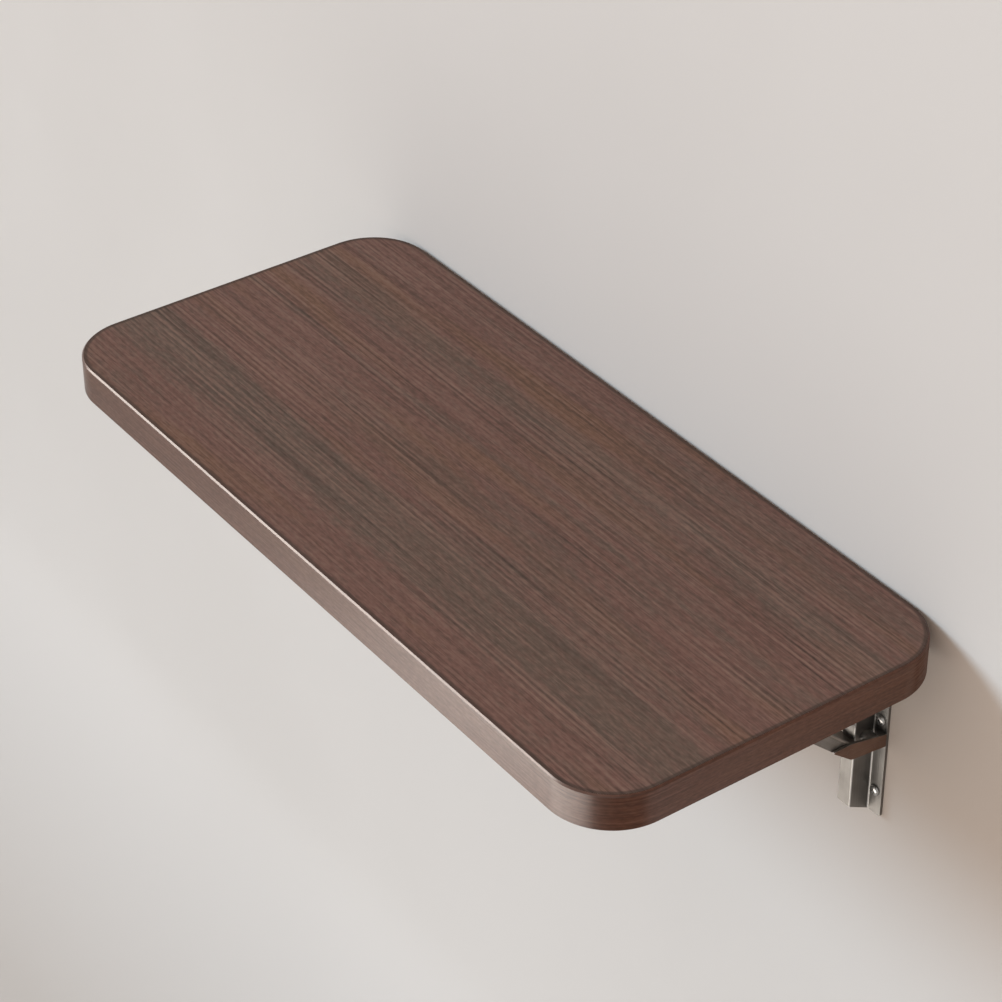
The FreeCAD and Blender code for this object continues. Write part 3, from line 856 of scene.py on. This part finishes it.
def makeThread(kind, length):
    crest = kind["thread"] / 2
    root = crest * screwShape["root"]
    pitch = kind["thread"] * screwShape["pitch"]
    start = kind["neck"] - pitch / 2
    turns = int((length - start) / pitch) - 1
    rising, full, falling = (start + share * pitch for share in crestShares)
    thread = drawLine("screwThread", [
        (root, start), (root, rising), (crest, full), (crest, falling), (root, start + pitch),
    ])
    applyModifier(
        thread, "SCREW", axis="Z", angle=math.tau, screw_offset=pitch, iterations=turns,
        steps=screwSteps["turn"], render_steps=screwSteps["turn"], use_merge_vertices=False
    )
    closeUp(thread)
    tipStart = length - kind["thread"] * screwShape["tipLength"]
    tipEnd = max(vertex.co.z for vertex in thread.data.vertices)
    for vertex in thread.data.vertices:  # the tip narrows evenly
        along = max(0.0, (vertex.co.z - tipStart) / (tipEnd - tipStart))
        narrow = 1 - along * (1 - screwShape["tipWidth"])
        vertex.co.x *= narrow
        vertex.co.y *= narrow
    return thread


def gridPlaces(low, high, margin, counts, axes):
    places = []
    for first in range(counts[0]):
        for second in range(counts[1]):
            place = Vector((0, 0, 0))
            for axis, index, count in ((axes[0], first, counts[0]), (axes[1], second, counts[1])):
                share = index / (count - 1) if count > 1 else 0.5
                place[axis] = low[axis] + margin + share * (high[axis] - low[axis] - 2 * margin)
            places.append(place)
    return places


def joinAll(pieces):
    deselectAll()
    for piece in pieces:
        piece.select_set(True)
    bpy.context.view_layer.objects.active = pieces[0]
    bpy.ops.object.join()
    return bpy.context.object


def makeScrews(stem, kind):
    low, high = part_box(stem + "_right")
    axis = kind["axis"]
    height = kind["head"] * screwShape["headHeight"]
    head = makeHead(kind)
    thread = makeThread(kind, high[axis] - low[axis] - height)
    pattern = joinAll([head, thread])
    bpy.ops.object.shade_smooth_by_angle(angle=screwCrease)
    if axis == 1:  # driven into the wall
        pattern.data.transform(Matrix.Rotation(-math.pi / 2, 4, "X"))
    for side in sides:
        low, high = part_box(stem + "_" + side)
        copies = []
        for place in gridPlaces(low, high, kind["head"] / 2, kind["grid"], (0, 3 - axis)):
            place[axis] = low[axis] + height
            turned = Matrix.Rotation(screwTurn.dot(place), 4, "XYZ"[axis])
            screw = pattern.copy()
            screw.data = pattern.data.copy()
            screw.data.transform(Matrix.Translation(place) @ turned)
            bpy.context.scene.collection.objects.link(screw)
            copies.append(screw)
        piece = joinAll(copies)
        piece.name = piece.data.name = "dressed." + stem + "_" + side
        give(piece, screwPlate)
        standsFor(piece, stem + "_" + side)
    bpy.data.objects.remove(pattern)


for stem, kind in screwKinds.items():
    makeScrews(stem, kind)
print("screws dressed")


# Stage: one pale sheet that runs from the wall down into the floor, clear from behind and behind the rails

stageShape = {
    "halfWidth": 3.2,
    "front": 4.2,
    "floor": -0.78,
    "top": 2.6,
    "cove": 0.22,
    "coveSteps": 20,
    "cover": 0.0006,  # how far each rail laps the opening behind it
}
stageFinish = {
    "pale": (0.70, 0.66, 0.615),
    "warm": (0.68, 0.64, 0.595),
    "floor": (0.58, 0.55, 0.515),
    "cloud": 2.2,  # cells to the metre
    "cloudDetail": 3.0,
    "cloudEdge": (0.35, 0.65),
    "plaster": 900.0,
    "roughness": 0.85,
    "gloss": 0.2,
    "bumpStrength": 0.1,
    "bumpDepth": 0.0002,
}


def railOpenings(tree, axes):  # the stage is open right behind each rail, so the rail's back gets light
    low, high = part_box("wall_rail_right")
    middle, half = (low + high) / 2, (high - low) / 2
    fromRail = calc(tree, "SUBTRACT", calc(tree, "ABSOLUTE", axes[0]), middle.x)
    alongRail = calc(tree, "SUBTRACT", axes[2], middle.z)
    inside = 1.0
    for place, reach in ((fromRail, half.x), (alongRail, half.z)):
        near = calc(tree, "LESS_THAN", calc(tree, "ABSOLUTE", place), reach - stageShape["cover"])
        inside = calc(tree, "MULTIPLY", near, inside)
    return inside


def stageMaterial():
    material, tree, shader, place = newMaterial("palePlaster")
    axes = axesOf(tree, place)
    cloud = noise(tree, place, stageFinish["cloud"], stageFinish["cloudDetail"])
    cloud = spread(tree, cloud, *stageFinish["cloudEdge"])
    wall = blendColour(tree, cloud, opaque(stageFinish["warm"]), opaque(stageFinish["pale"]))
    low = spread(tree, axes[2], stageShape["floor"] + stageShape["cove"], stageShape["floor"])
    feed(tree, shader.inputs["Base Color"], blendColour(tree, low, wall, opaque(stageFinish["floor"])))
    shader.inputs["Roughness"].default_value = stageFinish["roughness"]
    shader.inputs["Specular IOR Level"].default_value = stageFinish["gloss"]
    plaster = noise(tree, place, stageFinish["plaster"])
    bumpInto(tree, shader, plaster, stageFinish["bumpStrength"], stageFinish["bumpDepth"])
    clear = tree.nodes.new("ShaderNodeBsdfTransparent")
    either = tree.nodes.new("ShaderNodeMixShader")
    behind = tree.nodes.new("ShaderNodeNewGeometry").outputs["Backfacing"]
    feed(tree, either.inputs[0], calc(tree, "MAXIMUM", behind, railOpenings(tree, axes)))
    feed(tree, either.inputs[1], shader.outputs[0])
    feed(tree, either.inputs[2], clear.outputs[0])
    feed(tree, tree.nodes["Material Output"].inputs["Surface"], either.outputs[0])
    return material


def makeStage():
    deselectAll()
    depth = stageShape["front"]
    bpy.ops.mesh.primitive_plane_add(size=1, location=(0, -depth / 2, stageShape["floor"]))
    sheet = bpy.context.object
    sheet.name = sheet.data.name = "paleStage"
    sheet.scale = (2 * stageShape["halfWidth"], depth, 1)
    bpy.ops.object.transform_apply(location=True, rotation=True, scale=True)
    bpy.ops.object.mode_set(mode="EDIT")
    selectEdges(sheet, lambda edge: all(abs(vertex.co.y) < samePlace for vertex in edge.verts))
    rise = stageShape["top"] - stageShape["floor"]
    bpy.ops.mesh.extrude_region_move(TRANSFORM_OT_translate={"value": (0, 0, rise)})
    selectEdges(sheet, lambda edge: len(edge.link_faces) == 2)
    bpy.ops.mesh.bevel(offset=stageShape["cove"], affect="EDGES", segments=stageShape["coveSteps"])
    bpy.ops.object.mode_set(mode="OBJECT")
    bpy.ops.object.shade_smooth()
    give(sheet, stageMaterial())


makeStage()


# Light and camera

sunPlan = {  # lights the surfaces and isn't seen in gloss
    "from": (-0.68, -0.60, 0.41),
    "spreadDegrees": 20.0,
    "strength": 2.6,
    "colour": (0.60, 0.815, 1.0),
}
cardPlan = {  # seen only in gloss: place, aim, width and height in metres, power in watts and colour
    "windowCard": ((-1.62, -1.72, 1.16), (0.0, -0.27, 0.1), (1.5, 1.2), 75.0, (1.0, 0.93, 0.86)),
    "floorCard": ((-0.04, -1.15, -0.55), (0.15, -0.27, 0.08), (1.5, 0.5), 16.6, (1.0, 0.935, 0.865)),
}
worldLight = {"glow": (1.0, 0.81, 0.69), "strength": 0.75, "seen": (0.65, 0.63, 0.61)}
cameraPlan = {
    "place": (1.3243, -1.0748, 1.2315),
    "aim": (0.0259, -0.1385, 0.1006),
    "rollDegrees": -0.14,
    "lens": 112.41,
    "sensor": 36.0,
    "nearest": 0.05,
}


def lookAt(place, aim):
    turned = (Vector(aim) - Vector(place)).to_track_quat("-Z", "Y").to_matrix().to_4x4()
    return Matrix.Translation(place) @ turned


def makeCards():
    for name, (place, aim, size, power, colour) in cardPlan.items():
        deselectAll()
        bpy.ops.object.light_add(type="AREA")
        card = bpy.context.object
        card.name = card.data.name = name
        card.matrix_world = lookAt(place, aim)
        card.data.shape = "RECTANGLE"
        card.data.size, card.data.size_y = size
        card.data.energy = power
        card.data.color = colour
        card.visible_diffuse = False


def makeSun():
    deselectAll()
    bpy.ops.object.light_add(type="SUN")
    sun = bpy.context.object
    sun.matrix_world = lookAt(sunPlan["from"], (0, 0, 0))
    sun.data.angle = math.radians(sunPlan["spreadDegrees"])
    sun.data.energy = sunPlan["strength"]
    sun.data.color = sunPlan["colour"]
    sun.visible_glossy = False


def makeWorld():  # a warm glow on the surfaces, and a pale room where it is seen
    world = bpy.data.worlds.new("softRoom")
    bpy.context.scene.world = world
    world.use_nodes = True
    tree = world.node_tree
    glow = tree.nodes["Background"]
    glow.inputs["Color"].default_value = opaque(worldLight["glow"])
    glow.inputs["Strength"].default_value = worldLight["strength"]
    seen = tree.nodes.new("ShaderNodeBackground")
    seen.inputs["Color"].default_value = opaque(worldLight["seen"])
    either = tree.nodes.new("ShaderNodeMixShader")
    path = tree.nodes.new("ShaderNodeLightPath").outputs
    clear = calc(tree, "MAXIMUM", path["Is Glossy Ray"], path["Is Transmission Ray"])
    feed(tree, either.inputs[0], calc(tree, "MAXIMUM", path["Is Camera Ray"], clear))
    feed(tree, either.inputs[1], glow.outputs[0])
    feed(tree, either.inputs[2], seen.outputs[0])
    feed(tree, tree.nodes["World Output"].inputs["Surface"], either.outputs[0])


def makeCamera():
    deselectAll()
    bpy.ops.object.camera_add()
    camera = bpy.context.object
    camera.data.lens = cameraPlan["lens"]
    camera.data.sensor_width = cameraPlan["sensor"]
    camera.data.clip_start = cameraPlan["nearest"]
    roll = Matrix.Rotation(math.radians(cameraPlan["rollDegrees"]), 4, "Z")
    camera.matrix_world = lookAt(cameraPlan["place"], cameraPlan["aim"]) @ roll
    bpy.context.scene.camera = camera


makeCards()
makeSun()
makeWorld()
makeCamera()
bpy.context.scene.view_settings.view_transform = "Standard"
print("stage, lights and camera set")
